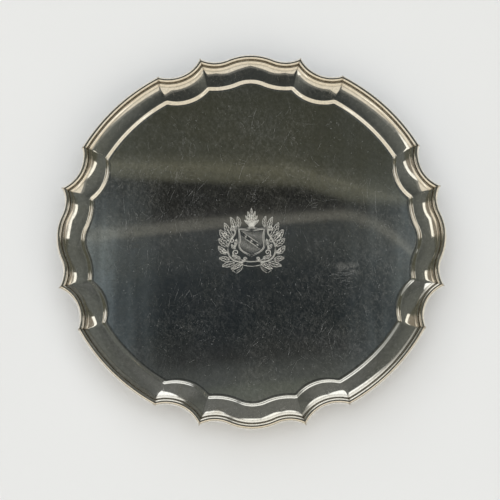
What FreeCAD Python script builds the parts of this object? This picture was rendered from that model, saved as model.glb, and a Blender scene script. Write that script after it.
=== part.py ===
import FreeCAD
import Part

import math
import os

# A shaped circular silver salver on four scroll feet, built up as a silversmith builds it.
#
# One raised sheet is the plate: a flat well, a small step, and a hollow shelf that rises to the rim.
# Sixteen lengths of cast moulding are mitred end to end on the shelf's edge: four lobes on the axes,
# four long bows on the diagonals, and eight hollow scrolls between them. Four cast scroll feet are
# soldered under the well, on the diagonals.
#
# Millimetres. +Z is up, the feet stand on z = 0, and the origin is below the middle of the plate. Every
# arc of the outline is a true circle, so a profile revolved about the arc's own centre is the border's
# exact offset, and each mitre follows the line that is equally deep from both of its neighbours.

Vector = FreeCAD.Vector

# Driving dimensions of the outline, seen from above
WIDTH = 305.0  # across two opposite lobes
BOW_RADIUS = 0.5022 * WIDTH  # the four long bows lie on one circle about the centre
POINT_RADIUS = 0.5085 * WIDTH  # from the centre to the sharp points beside each lobe
POINT_ANGLE = math.radians(15.25)  # of a sharp point, from its lobe's middle
CORNER_ANGLE = math.radians(28.9)  # of a bow's end, from the nearest lobe's middle
SCROLL_SAG = 7.1  # how far a scroll bows inward from its chord
VALLEY_REACH = 0.4798 * WIDTH  # along a lobe's axis, from the centre to the low place on its flank
VALLEY_OFFSET = 28.6  # of that low place from the lobe's axis

# Driving dimensions of the section
SHEET = 1.1  # thickness of the plate
CLEARANCE_UNDER = 20.0  # from the table to the well's underside
STEP_FOOT_IN = 22.9  # from the outline in to the foot of the step
MOULDING_WIDTH = 7.2  # from the outline in to where the moulding meets the shelf
STEP_FOOT_BEND = 3.4  # radius of the hollow at the step's foot
STEP_HEAD_BEND = 5.5  # radius of the round at the step's head
STEP_SLOPE = math.radians(44)  # where the step is steepest
SHELF_LOW_SLOPE = math.radians(15)  # at the step's head
SHELF_HIGH_SLOPE = math.radians(28)  # at the moulding
RIM_RISE = 10.4  # of the moulding's top above the well
SHEET_EDGE_IN = 3.0  # from the outline in to the edge of the sheet, inside the moulding's rebate

# Driving dimensions of a foot
FOOT_RADIUS = 113.0  # from the centre to the middle of a foot's knuckle
TOE_REACH = 7.4  # from the knuckle's middle out to the toe scroll's axis
TOE_HEIGHT = 4.6  # of the toe scroll's axis
TOE_RADIUS = 4.2
TOE_WIDTH = 9.6
TOE_ROUNDING = 0.9
SOLE_REACH = 5.8  # from the knuckle's middle out to the sole's middle
SOLE_SIZE = (5.0, 4.4)  # half length and half width of the flat sole
SOLE_HEIGHT = 2.4
# The leg's oval stations from the sheet down to the toe: reach outward, drop below the sheet, half
# length, half width, and how far the oval is tipped, in degrees
LEG_STATIONS = (
    (0.0, 0.0, 12.5, 9.0, 0),
    (0.2, 1.4, 10.8, 7.6, 2),
    (0.3, 3.6, 6.5, 5.0, 7),
    (-0.6, 7.2, 3.6, 3.9, 6),
    (-1.2, 11.0, 2.9, 3.5, -14),
    (0.4, 14.6, 3.1, 3.9, -43),
    (4.0, 16.3, 3.4, 4.3, -72),
)

WELL_FACE = CLEARANCE_UNDER + SHEET
SIDES = ("e", "n", "w", "s")
CORNERS = ("ne", "nw", "sw", "se")
SCROLL_NAMES = (("ene", "nne"), ("nnw", "wnw"), ("wsw", "ssw"), ("sse", "ese"))
JOIN_TOLERANCE = 0.001  # within which two faces that meet are taken as one
OVERRUN = 0.01  # extra angle, in radians, that a ring runs past a mitre before it is trimmed


def polar(radius, angle):
    """The point at that distance and angle from the centre."""
    return (radius * math.cos(angle), radius * math.sin(angle))


def heading(origin, target):
    """The angle of the line from origin to target, from 0 to a full turn."""
    return math.atan2(target[1] - origin[1], target[0] - origin[0]) % (2 * math.pi)


class Arc:
    """One arc of the outline. bulge is 1 where it bows outward, and -1 where its centre lies outside."""

    def __init__(self, centre, radius, first, last, bulge):
        self.centre = centre
        self.radius = radius
        self.first = first
        self.last = last
        self.bulge = bulge

    def reach(self, depth):
        """The arc's radius where it is offset inward by depth."""
        return self.radius - self.bulge * depth

    def at(self, angle, depth=0.0):
        """The point at that angle about the arc's own centre."""
        x, y = polar(self.reach(depth), angle)
        return (self.centre[0] + x, self.centre[1] + y)

    def travel(self, angle):
        """The direction in which the outline runs there, anticlockwise round the salver."""
        return (-self.bulge * math.sin(angle), self.bulge * math.cos(angle))

    def mirrored(self, axis):
        """The same arc beyond the line through the origin at that angle, run the other way."""
        away = math.atan2(self.centre[1], self.centre[0])
        centre = polar(math.hypot(*self.centre), 2 * axis - away)
        return Arc(centre, self.radius, 2 * axis - self.last, 2 * axis - self.first, self.bulge)

    def turned(self, angle):
        """The same arc, turned about the origin."""
        away = math.atan2(self.centre[1], self.centre[0])
        centre = polar(math.hypot(*self.centre), away + angle)
        return Arc(centre, self.radius, self.first + angle, self.last + angle, self.bulge)


def east_lobe():
    """The lobe on +X: a hollow flank, a round crown and the other flank, all tangent."""
    crown_reach = WIDTH / 2
    point = polar(POINT_RADIUS, POINT_ANGLE)
    rise, run = point[0] - VALLEY_REACH, point[1] - VALLEY_OFFSET
    flank_radius = (rise**2 + run**2) / (2 * rise)
    flank_centre = (VALLEY_REACH + flank_radius, VALLEY_OFFSET)
    gap = flank_centre[0] - crown_reach
    crown_radius = (gap**2 + VALLEY_OFFSET**2 - flank_radius**2) / (2 * (flank_radius - gap))
    crown_centre = (crown_reach - crown_radius, 0.0)
    meet = heading(crown_centre, flank_centre)
    flank = Arc(flank_centre, flank_radius, meet + math.pi, heading(flank_centre, point), -1)
    crown = Arc(crown_centre, crown_radius, -meet, meet, 1)
    return [flank.mirrored(0.0), crown, flank]


def first_scroll():
    """The hollow scroll from the east lobe's point to the north-east bow's corner."""
    point = polar(POINT_RADIUS, POINT_ANGLE)
    corner = polar(BOW_RADIUS, CORNER_ANGLE)
    across = (corner[0] - point[0], corner[1] - point[1])
    chord = math.hypot(*across)
    radius = chord**2 / (8 * SCROLL_SAG) + SCROLL_SAG / 2
    outward = (across[1] / chord, -across[0] / chord)
    centre = tuple((p + c) / 2 + n * (radius - SCROLL_SAG) for p, c, n in zip(point, corner, outward))
    return Arc(centre, radius, heading(centre, point), heading(centre, corner), -1)


def outline_sections():
    """Every length of the border in order round the salver, as (name, arcs)."""
    lobe, scroll = east_lobe(), first_scroll()
    bow = Arc((0.0, 0.0), BOW_RADIUS, CORNER_ANGLE, math.pi / 2 - CORNER_ANGLE, 1)
    sections = []
    for quarter in range(4):
        turn = quarter * math.pi / 2
        sections.append(("border_lobe_" + SIDES[quarter], [arc.turned(turn) for arc in lobe]))
        sections.append(("border_scroll_" + SCROLL_NAMES[quarter][0], [scroll.turned(turn)]))
        sections.append(("border_bow_" + CORNERS[quarter], [bow.turned(turn)]))
        after = scroll.mirrored(math.pi / 4).turned(turn)
        sections.append(("border_scroll_" + SCROLL_NAMES[quarter][1], [after]))
    return sections


def crossing(arc_a, arc_b, depth, near):
    """Where the two arcs, both offset inward by depth, cross closest to near."""
    (ax, ay), (bx, by) = arc_a.centre, arc_b.centre
    ra, rb = arc_a.reach(depth), arc_b.reach(depth)
    apart = math.hypot(bx - ax, by - ay)
    along = (ra**2 - rb**2 + apart**2) / (2 * apart)
    aside = math.sqrt(max(ra**2 - along**2, 0.0))
    ux, uy = (bx - ax) / apart, (by - ay) / apart
    both = [(ax + along * ux - s * aside * uy, ay + along * uy + s * aside * ux) for s in (-1, 1)]
    return min(both, key=lambda p: math.hypot(p[0] - near[0], p[1] - near[1]))


def mitre_line(arc_a, arc_b, shallow, deep, steps=9):
    """The curve that is equally deep from both arcs, from one depth to another, in plan."""
    points, near = [], arc_a.at(arc_a.last)
    for step in range(steps):
        near = crossing(arc_a, arc_b, shallow + (deep - shallow) * step / (steps - 1), near)
        points.append(Vector(near[0], near[1], 0))
    line = Part.BSplineCurve()
    line.interpolate(points)
    return line, points[0], points[-1]


def beyond_mitre(arc_a, arc_b, shallow, deep, direction):
    """A tall block on the far side of the mitre between two arcs, to trim a ring with."""
    outer_margin, inner_margin, sweep, height = 1.5, 9.0, 46.0, 60.0
    line, outer, inner = mitre_line(arc_a, arc_b, shallow - outer_margin, deep + inner_margin)
    away = Vector(direction[0] * sweep, direction[1] * sweep, 0)
    edges = [
        line.toShape(),
        Part.makeLine(inner, inner + away),
        Part.makeLine(inner + away, outer + away),
        Part.makeLine(outer + away, outer),
    ]
    return Part.Face(Part.Wire(edges)).extrude(Vector(0, 0, height))


def ring(profile, arc, run_before, run_after):
    """The profile revolved along one arc. The profile is a list of (depth, z) edges, two points for a
    line and three for an arc, and it may run a little past either end, where a mitre trims it."""
    first = arc.first - arc.bulge * (OVERRUN if run_before else 0.0)
    last = arc.last + arc.bulge * (OVERRUN if run_after else 0.0)
    low, high = min(first, last), max(first, last)

    def place(depth, z):
        x, y = arc.at(low, depth)
        return Vector(x, y, z)

    edges = []
    for points in profile:
        ends = [place(*point) for point in points]
        edges.append(Part.makeLine(*ends) if len(ends) == 2 else Part.Arc(*ends).toShape())
    face = Part.Face(Part.Wire(Part.__sortEdges__(edges)))
    axis = Vector(arc.centre[0], arc.centre[1], 0)
    return face.revolve(axis, Vector(0, 0, 1), math.degrees(high - low))


def section_solids(sections, index, profile, shallow, deep):
    """The profile along each arc of one section, trimmed at the section's two mitres."""
    arcs = sections[index][1]
    before = sections[index - 1][1][-1]
    after = sections[(index + 1) % len(sections)][1][0]
    first, last = arcs[0], arcs[-1]
    back = [-t for t in first.travel(first.first)]
    start_block = beyond_mitre(before, first, shallow, deep, back)
    end_block = beyond_mitre(last, after, shallow, deep, last.travel(last.last))
    solids = []
    for arc in arcs:
        solid = ring(profile, arc, arc is first, arc is last)
        if arc is first:
            solid = solid.cut(start_block)
        if arc is last:
            solid = solid.cut(end_block)
        solids.append(solid)
    return solids


def joined(solids):
    """The solids as one, with the seams between their faces removed."""
    whole = solids[0]
    if len(solids) > 1:
        whole = whole.multiFuse(solids[1:], JOIN_TOLERANCE)
    merged = whole.removeSplitter().Solids
    if len(merged) != 1:
        raise ValueError(f"{len(merged)} separate solids where one is needed")
    return merged[0]


def slope_point(centre, radius, slope):
    """The (depth, z) point of a section's arc where it rises outward at that slope. The radius is
    positive on a hollow arc, whose centre is above it, and negative on a round one."""
    return (centre[0] - radius * math.sin(slope), centre[1] - radius * math.cos(slope))


def sheet_arcs():
    """The section's three arcs from the well outward, each as (centre, radius, low slope, high slope)."""
    foot = ((STEP_FOOT_IN, WELL_FACE + STEP_FOOT_BEND), STEP_FOOT_BEND, 0.0, STEP_SLOPE)
    middle = slope_point(foot[0], STEP_FOOT_BEND, STEP_SLOPE)
    head = (slope_point(middle, STEP_HEAD_BEND, STEP_SLOPE), -STEP_HEAD_BEND, STEP_SLOPE, SHELF_LOW_SLOPE)
    shelf_start = slope_point(head[0], -STEP_HEAD_BEND, SHELF_LOW_SLOPE)
    width = shelf_start[0] - MOULDING_WIDTH
    radius = width / (math.sin(SHELF_HIGH_SLOPE) - math.sin(SHELF_LOW_SLOPE))
    centre = slope_point(shelf_start, -radius, SHELF_LOW_SLOPE)
    return [foot, head, (centre, radius, SHELF_LOW_SLOPE, SHELF_HIGH_SLOPE)]


def flange_height():
    """The height of the flat edge that the moulding is soldered to, level with the shelf's top."""
    centre, radius, _, high = sheet_arcs()[-1]
    return slope_point(centre, radius, high)[1]


def plate_profile():
    """The sheet from its edge in the moulding's rebate to the foot of the step, as (depth, z) edges."""
    flange, arcs = flange_height(), sheet_arcs()

    def edge(centre, radius, low, high):
        return tuple(slope_point(centre, radius, slope) for slope in (low, (low + high) / 2, high))

    face = [edge(*arc) for arc in arcs]
    # the underside of the shelf stops where it is level with the flange's underside
    centre, radius, low, _ = arcs[-1]
    arcs[-1] = (centre, radius, low, math.acos((centre[1] - flange + SHEET) / (radius + SHEET)))
    under = [edge(centre, radius + SHEET, low, high) for centre, radius, low, high in arcs]
    face.append((face[-1][-1], (SHEET_EDGE_IN, flange)))
    under.append((under[-1][-1], (SHEET_EDGE_IN, flange - SHEET)))
    ends = [(face[0][0], under[0][0]), (face[-1][-1], under[-1][-1])]
    return face + under + ends


def moulding_profile():
    """The cast moulding: a tall round lip and a low reed, over a rebate for the sheet's edge."""
    top, flange = WELL_FACE + RIM_RISE, flange_height()
    lip_out, lip_crown, lip_in = (0.0, top - 1.95), (1.95, top), (3.44, top - 0.7)
    groove, reed_crown, inner = (3.9, flange + 0.55), (5.35, flange + 1.25), (MOULDING_WIDTH, flange)
    sheet_edge, rebate_foot = (SHEET_EDGE_IN, flange), (SHEET_EDGE_IN, flange - SHEET)
    skirt_foot, skirt_bulge = (1.0, flange - 0.8), (0.2, flange + 0.35)
    return [
        (lip_out, lip_crown, lip_in),
        (lip_in, groove),
        (groove, reed_crown, inner),
        (inner, sheet_edge),
        (sheet_edge, rebate_foot),
        (rebate_foot, skirt_foot),
        (skirt_foot, skirt_bulge, lip_out),
    ]


def well_disc(sections):
    """The flat well: the outline offset in to the foot of the step, one sheet thick."""
    edges = []
    for index, (_, arcs) in enumerate(sections):
        before = sections[index - 1][1][-1]
        after = sections[(index + 1) % len(sections)][1][0]
        start = crossing(before, arcs[0], STEP_FOOT_IN, before.at(before.last, STEP_FOOT_IN))
        end = crossing(arcs[-1], after, STEP_FOOT_IN, arcs[-1].at(arcs[-1].last, STEP_FOOT_IN))
        joints = [start] + [arc.at(arc.last, STEP_FOOT_IN) for arc in arcs[:-1]] + [end]
        for arc, head, tail in zip(arcs, joints, joints[1:]):
            halfway = middle_angle(heading(arc.centre, head), heading(arc.centre, tail))
            middle = arc.at(halfway, STEP_FOOT_IN)
            points = [Vector(x, y, CLEARANCE_UNDER) for x, y in (head, middle, tail)]
            edges.append(Part.Arc(*points).toShape())
    return Part.Face(Part.Wire(edges)).extrude(Vector(0, 0, SHEET))


def middle_angle(first, last):
    """The angle half way between two, the short way round."""
    gap = (last - first + math.pi) % (2 * math.pi) - math.pi
    return first + gap / 2


def plate(sections):
    """The raised sheet: the well with the step and shelf round it."""
    profile = plate_profile()
    pieces = [well_disc(sections)]
    for index in range(len(sections)):
        pieces += section_solids(sections, index, profile, SHEET_EDGE_IN, STEP_FOOT_IN)
    return joined(pieces)


def oval(reach, drop, half_length, half_width, tip):
    """One closed oval station of the leg, in the foot's own frame."""
    around, lean = 12, math.radians(tip)
    points = []
    for step in range(around):
        angle = 2 * math.pi * step / around
        along, across = half_length * math.cos(angle), half_width * math.sin(angle)
        height = CLEARANCE_UNDER - drop - along * math.sin(lean)
        points.append(Vector(reach + along * math.cos(lean), across, height))
    loop = Part.BSplineCurve()
    loop.interpolate(points, PeriodicFlag=True)
    return Part.Wire([loop.toShape()])


def foot():
    """One cast scroll foot in its own frame: +X points out from the salver's centre."""
    leg = Part.makeLoft([oval(*station) for station in LEG_STATIONS], True, False)
    toe_side = Vector(TOE_REACH, -TOE_WIDTH / 2, TOE_HEIGHT)
    toe = Part.makeCylinder(TOE_RADIUS, TOE_WIDTH, toe_side, Vector(0, 1, 0))
    toe = toe.makeFillet(TOE_ROUNDING, [edge for edge in toe.Edges if edge.isClosed()])
    sole_rim = Part.Ellipse(Vector(SOLE_REACH, 0, 0), *SOLE_SIZE).toShape()
    sole = Part.Face(Part.Wire([sole_rim])).extrude(Vector(0, 0, SOLE_HEIGHT))
    return joined([leg, toe, sole])


def write(name, shape):
    """Writes one node's STEP file, and says what is in it."""
    shape.exportStep(os.path.join("parts", name + ".step"))
    state = "valid" if shape.isValid() else "NOT VALID"
    box = shape.optimalBoundingBox(True, False)
    print(f"{name}: {state}, {len(shape.Solids)} solid, {shape.Volume:.1f} mm3,", end=" ")
    print(f"x {box.XMin:.2f} to {box.XMax:.2f}, z {box.ZMin:.2f} to {box.ZMax:.2f}")


def main():
    os.makedirs("parts", exist_ok=True)
    sections = outline_sections()
    write("plate", plate(sections))
    profile = moulding_profile()
    for index, (name, _) in enumerate(sections):
        write(name, joined(section_solids(sections, index, profile, 0.0, MOULDING_WIDTH)))
    one_foot = foot()
    for quarter, corner in enumerate(CORNERS):
        placed = one_foot.copy()
        placed.translate(Vector(FOOT_RADIUS, 0, 0))
        placed.rotate(Vector(0, 0, 0), Vector(0, 0, 1), 45 + 90 * quarter)
        write("foot_" + corner, placed)


main()
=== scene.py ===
import math
import random

import bmesh
import bpy
import numpy as np
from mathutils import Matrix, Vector, noise


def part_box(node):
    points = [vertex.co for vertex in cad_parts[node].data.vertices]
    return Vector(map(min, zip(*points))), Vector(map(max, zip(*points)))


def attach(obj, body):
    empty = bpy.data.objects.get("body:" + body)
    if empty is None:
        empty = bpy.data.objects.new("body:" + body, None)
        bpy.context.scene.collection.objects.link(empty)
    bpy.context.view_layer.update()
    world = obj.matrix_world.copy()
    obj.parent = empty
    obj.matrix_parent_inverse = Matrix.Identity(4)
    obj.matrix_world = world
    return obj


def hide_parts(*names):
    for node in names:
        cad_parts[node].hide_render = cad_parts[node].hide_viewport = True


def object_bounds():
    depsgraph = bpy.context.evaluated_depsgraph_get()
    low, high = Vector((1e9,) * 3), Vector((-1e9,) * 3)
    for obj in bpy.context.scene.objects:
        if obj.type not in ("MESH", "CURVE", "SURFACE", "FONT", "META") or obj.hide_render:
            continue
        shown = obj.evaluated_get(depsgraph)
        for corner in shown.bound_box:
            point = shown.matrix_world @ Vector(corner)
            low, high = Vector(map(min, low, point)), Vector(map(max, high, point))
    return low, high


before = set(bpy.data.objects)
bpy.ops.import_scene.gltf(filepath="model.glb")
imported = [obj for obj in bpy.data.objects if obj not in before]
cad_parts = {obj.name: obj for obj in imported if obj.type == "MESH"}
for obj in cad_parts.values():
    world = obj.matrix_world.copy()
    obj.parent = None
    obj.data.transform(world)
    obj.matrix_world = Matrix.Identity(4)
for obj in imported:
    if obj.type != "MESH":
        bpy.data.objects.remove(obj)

# Looks for a shaped silver salver. Its lengths are in millimetres until a mesh is made, and MM turns
# them into metres. The outline and section repeat the CAD model's, with rounder reeds, real engraving,
# wear, and detailed feet.

CAD_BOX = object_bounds()
MM = 0.001
WIDTH = round((CAD_BOX[1].x - CAD_BOX[0].x) / MM, 1)
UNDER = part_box("plate")[0].z / MM
SHEET = 1.1
WELL = UNDER + SHEET
RIM_TOP = CAD_BOX[1].z / MM

BOW_RADIUS = 0.5022 * WIDTH
POINT_RADIUS = 0.5085 * WIDTH
POINT_ANGLE = math.radians(15.25)
CORNER_ANGLE = math.radians(28.9)
SCROLL_SAG = 7.1
VALLEY_REACH = 0.4798 * WIDTH
VALLEY_OFFSET = 28.6
STEP_FOOT_IN = 22.9
MOULDING_WIDTH = 7.2
STEP_FOOT_BEND = 3.4
STEP_HEAD_BEND = 5.5
STEP_SLOPE = math.radians(44)
SHELF_LOW_SLOPE = math.radians(15)
SHELF_HIGH_SLOPE = math.radians(28)
SHEET_EDGE_IN = 3.0
SCROLL_DRIFT = 19.0
DRIFT_POWER = 1.3
CORNER_EASE = 1.5
CORNER_COLUMNS = 5
MITRE_GAP = 0.04
COLUMN_TURN = 0.045
COLUMN_SPACING = (0.8, 2.0)
BEND_STEPS = 16
SHELF_STEPS = 24
GROOVE_IN = 4.15
SCRATCHED_REACH = 121.0
ENGRAVING_SEED = 7
SCRATCH_SEED = 23
HAIRLINE_COUNT = 520
NICK_COUNT = 420
FOOT_RADIUS = 113.0
TOE = (7.4, 0.0, 4.55)
SOLE_IN = 5.8

SIDES = ("e", "n", "w", "s")
CORNERS = ("ne", "nw", "sw", "se")
SCROLL_NAMES = (("ene", "nne"), ("nnw", "wnw"), ("wsw", "ssw"), ("sse", "ese"))


# ---- outline

def polar(radius, angle):
    return (radius * math.cos(angle), radius * math.sin(angle))


def heading(origin, target):
    return math.atan2(target[1] - origin[1], target[0] - origin[0]) % math.tau


def beside(angle, reference):
    """The same direction as angle, within half a turn of reference."""
    return reference + (angle - reference + math.pi) % math.tau - math.pi


class Arc:
    """One arc of the outline. bulge is 1 where it bows outward, and -1 where its centre lies outside."""

    def __init__(self, centre, radius, first, last, bulge, drift=0.0):
        self.centre, self.radius, self.first, self.last, self.bulge = centre, radius, first, last, bulge
        self.drift = drift  # how far the centre has moved in toward the salver at the step

    def drifted(self, depth):
        share = max(depth - MOULDING_WIDTH, 0.0) / (STEP_FOOT_IN - MOULDING_WIDTH)
        return self.drift * share**DRIFT_POWER

    def middle(self, depth):
        """The arc's centre at this depth."""
        middle = (self.first + self.last) / 2
        x, y = polar(self.drifted(depth) * 1.02, middle)
        return (self.centre[0] + x, self.centre[1] + y)

    def reach(self, depth):
        return self.radius - self.bulge * depth - self.drifted(depth)

    def at(self, angle, depth=0.0):
        x, y = polar(self.reach(depth), angle)
        centre = self.middle(depth)
        return (centre[0] + x, centre[1] + y)

    def moved(self, way, angle):
        """The arc turned by angle, after it is mirrored on the X axis where way is -1."""
        away = math.atan2(self.centre[1], self.centre[0])
        centre = polar(math.hypot(*self.centre), angle + way * away)
        first, last = (self.first, self.last)[::way]
        return Arc(centre, self.radius, angle + way * first, angle + way * last, self.bulge, self.drift)

    def mirrored(self, axis):
        return self.moved(-1, 2 * axis)

    def turned(self, angle):
        return self.moved(1, angle)

    def columns(self):
        """How many mesh columns the arc gets: closer together where it turns faster."""
        spacing = min(max(COLUMN_TURN * self.radius, COLUMN_SPACING[0]), COLUMN_SPACING[1])
        return max(4, round(abs(self.last - self.first) * self.radius / spacing))


def east_lobe():
    crown_reach = WIDTH / 2
    point = polar(POINT_RADIUS, POINT_ANGLE)
    rise, run = point[0] - VALLEY_REACH, point[1] - VALLEY_OFFSET
    flank_radius = (rise**2 + run**2) / (2 * rise)
    flank_centre = (VALLEY_REACH + flank_radius, VALLEY_OFFSET)
    gap = flank_centre[0] - crown_reach
    crown_radius = (gap**2 + VALLEY_OFFSET**2 - flank_radius**2) / (2 * (flank_radius - gap))
    crown_centre = (crown_reach - crown_radius, 0.0)
    meet = heading(crown_centre, flank_centre)
    flank = Arc(flank_centre, flank_radius, meet + math.pi, heading(flank_centre, point), -1)
    crown = Arc(crown_centre, crown_radius, -meet, meet, 1)
    return [flank.mirrored(0.0), crown, flank]


def first_scroll():
    point = polar(POINT_RADIUS, POINT_ANGLE)
    corner = polar(BOW_RADIUS, CORNER_ANGLE)
    across = (corner[0] - point[0], corner[1] - point[1])
    chord = math.hypot(*across)
    radius = chord**2 / (8 * SCROLL_SAG) + SCROLL_SAG / 2
    outward = (across[1] / chord, -across[0] / chord)
    centre = tuple((p + c) / 2 + n * (radius - SCROLL_SAG) for p, c, n in zip(point, corner, outward))
    return Arc(centre, radius, heading(centre, point), heading(centre, corner), -1, SCROLL_DRIFT)


def outline_sections():
    lobe, scroll = east_lobe(), first_scroll()
    bow = Arc((0.0, 0.0), BOW_RADIUS, CORNER_ANGLE, math.pi / 2 - CORNER_ANGLE, 1)
    sections = []
    for quarter in range(4):
        turn = quarter * math.pi / 2
        sections.append(("border_lobe_" + SIDES[quarter], [arc.turned(turn) for arc in lobe]))
        sections.append(("border_scroll_" + SCROLL_NAMES[quarter][0], [scroll.turned(turn)]))
        sections.append(("border_bow_" + CORNERS[quarter], [bow.turned(turn)]))
        after = scroll.mirrored(math.pi / 4).turned(turn)
        sections.append(("border_scroll_" + SCROLL_NAMES[quarter][1], [after]))
    return sections


SECTIONS = outline_sections()


def crossing(arc_a, arc_b, depth):
    """Where the two arcs, both offset inward by depth, cross beside their common end."""
    near = arc_a.at(arc_a.last, depth)
    (ax, ay), (bx, by) = arc_a.middle(depth), arc_b.middle(depth)
    ra, rb = arc_a.reach(depth), arc_b.reach(depth)
    apart = math.hypot(bx - ax, by - ay)
    along = (ra**2 - rb**2 + apart**2) / (2 * apart)
    aside = math.sqrt(max(ra**2 - along**2, 0.0))
    ux, uy = (bx - ax) / apart, (by - ay) / apart
    both = [(ax + along * ux - s * aside * uy, ay + along * uy + s * aside * ux) for s in (-1, 1)]
    return min(both, key=lambda p: math.hypot(p[0] - near[0], p[1] - near[1]))


def mitre_after(index, depth):
    """The corner between one length of the border and the next, at one depth."""
    after = SECTIONS[(index + 1) % len(SECTIONS)][1][0]
    return crossing(SECTIONS[index][1][-1], after, depth)


def section_line(index, depth, trim=0.0):
    """The plan points of one length of the border at one depth, from mitre to mitre, or short of them."""
    arcs = SECTIONS[index][1]
    points = []
    for arc in arcs:
        first, last = arc.first, arc.last
        way = math.copysign(trim / arc.reach(depth), last - first)
        if arc is arcs[0]:
            first = beside(heading(arc.middle(depth), mitre_after(index - 1, depth)), arc.first) + way
        if arc is arcs[-1]:
            last = beside(heading(arc.middle(depth), mitre_after(index, depth)), arc.last) - way
        count = arc.columns()
        for step in range(0 if arc is arcs[0] else 1, count + 1):
            points.append(arc.at(first + (last - first) * step / count, depth))
    return np.array(points)


def whole_line(depth):
    """The closed plan outline at one depth. Inside the moulding its corners are eased, as sheet's are."""
    share = min(max((depth - MOULDING_WIDTH) / CORNER_EASE, 0.0), 1.0)
    ease = MITRE_GAP + CORNER_EASE * share
    lines = []
    for index in range(len(SECTIONS)):
        line = section_line(index, depth, ease)
        following = section_line((index + 1) % len(SECTIONS), depth, ease)
        corner = np.array(mitre_after(index, depth))
        lines.append(line)
        for k in range(1, CORNER_COLUMNS + 1):
            t = k / (CORNER_COLUMNS + 1)
            eased = (1 - t) ** 2 * line[-1] + 2 * t * (1 - t) * corner + t**2 * following[0]
            lines.append(eased[None, :])
    return np.vstack(lines)


# ---- section profiles

def evenly(points, step):
    """The polyline resampled at equal steps along its length."""
    points = np.array(points, float)
    run = np.concatenate([[0], np.cumsum(np.hypot(*np.diff(points, axis=0).T))])
    count = max(2, int(round(run[-1] / step)) + 1)
    where = np.linspace(0, run[-1], count)
    return np.column_stack([np.interp(where, run, points[:, k]) for k in range(2)])


def softened(points, rounds):
    """The polyline with its corners eased, its ends kept."""
    points = points.copy()
    for _ in range(rounds):
        points[1:-1] = 0.5 * points[1:-1] + 0.25 * (points[:-2] + points[2:])
    return points


def thinned(points, turn, longest):
    """The polyline with only the points its shape needs: one each so much turn, or so much length."""
    kept, turned, travelled = [0], 0.0, 0.0
    for k in range(1, len(points) - 1):
        a, b = points[k] - points[k - 1], points[k + 1] - points[k]
        turned += abs(math.atan2(a[0] * b[1] - a[1] * b[0], a[0] * b[0] + a[1] * b[1]))
        travelled += math.hypot(*a)
        if turned > turn or travelled > longest:
            kept.append(k)
            turned, travelled = 0.0, 0.0
    kept.append(len(points) - 1)
    return points[kept]


def slope_point(centre, radius, slope):
    """The (depth, height) point of an arc where it rises outward at that slope."""
    return (centre[0] - radius * math.sin(slope), centre[1] - radius * math.cos(slope))


def sheet_rise():
    """The sheet's face as (depth, height above the well), from the step's foot out to the moulding."""
    centre, points = (STEP_FOOT_IN, STEP_FOOT_BEND), []
    bends = [(STEP_FOOT_BEND, 0.0, STEP_SLOPE), (-STEP_HEAD_BEND, STEP_SLOPE, SHELF_LOW_SLOPE)]
    for radius, low, high in bends:
        if points:
            centre = slope_point(points[-1], -radius, low)
        slopes = [low + (high - low) * k / BEND_STEPS for k in range(BEND_STEPS + 1)]
        points += [slope_point(centre, radius, slope) for slope in slopes]
    low, high = SHELF_LOW_SLOPE, SHELF_HIGH_SLOPE
    radius = (points[-1][0] - MOULDING_WIDTH) / (math.sin(high) - math.sin(low))
    centre = slope_point(points[-1], -radius, low)
    slopes = [low + (high - low) * k / SHELF_STEPS for k in range(1, SHELF_STEPS + 1)]
    return points + [slope_point(centre, radius, slope) for slope in slopes]


FLANGE_RISE = sheet_rise()[-1][1]


def plate_face():
    """The sheet's upper face from its hidden edge to the step's foot."""
    flange = [(SHEET_EDGE_IN, FLANGE_RISE)]
    return np.vstack([flange, thinned(evenly(sheet_rise()[::-1], 0.05), math.radians(2.5), 1.2)])


MOULDING = (  # how far in from the outline, and how far below the crest
    (0.0, 2.1), (0.12, 1.6), (0.5, 1.05), (1.15, 0.4), (1.6, 0.1), (2.05, 0.0), (2.45, 0.08), (2.95, 0.3),
    (3.45, 0.6), (3.82, 0.95), (3.95, 1.5), (4.02, 2.4), (4.14, 3.0), (4.3, 3.05), (4.5, 2.75), (4.85, 2.46),
    (5.15, 2.4), (5.5, 2.5), (6.1, 2.88), (6.7, 3.3), (7.0, 3.52),
)


def moulding_face():
    """The moulding's upper face: a lip with a sloping inner side, a narrow groove, and a low reed."""
    crest = RIM_TOP - WELL
    points = [(depth, crest - drop) for depth, drop in MOULDING] + [(MOULDING_WIDTH, FLANGE_RISE)]
    return thinned(softened(evenly(points, 0.04), 12), math.radians(7), 0.5)


def moulding_loop():
    """The moulding's whole section, closed: over the top, under the flange and up the skirt."""
    rise = FLANGE_RISE
    skirt = [(SHEET_EDGE_IN, rise), (SHEET_EDGE_IN, rise - SHEET), (1.0, rise - 0.8)]
    skirt += [(0.62, rise - 0.35), (0.32, rise + 0.1), (0.13, rise + 0.6), (0.03, rise + 1.2)]
    return np.vstack([moulding_face(), skirt])


# ---- meshes

def warp(x, y):
    """How far the old sheet has sunk here, by hand hammering and use. Never upward."""
    slow = noise.noise(Vector((x / 95.0 + 3.1, y / 80.0 - 1.7, 0.4)))
    quick = noise.noise(Vector((x / 31.0 - 5.2, y / 27.0 + 2.3, 7.9)))
    return -0.05 + 0.035 * slow + 0.006 * quick


def face_outward(mesh):
    """Turns a closed piece's faces outward, and an open piece's over, as its strips are wound face down."""
    work = bmesh.new()
    work.from_mesh(mesh)
    if all(edge.is_manifold for edge in work.edges):
        bmesh.ops.recalc_face_normals(work, faces=work.faces)
    else:
        bmesh.ops.reverse_faces(work, faces=work.faces)
    work.to_mesh(mesh)
    work.free()


def new_object(name, data):
    obj = bpy.data.objects.new(name, data)
    bpy.context.scene.collection.objects.link(obj)
    return obj


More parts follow.
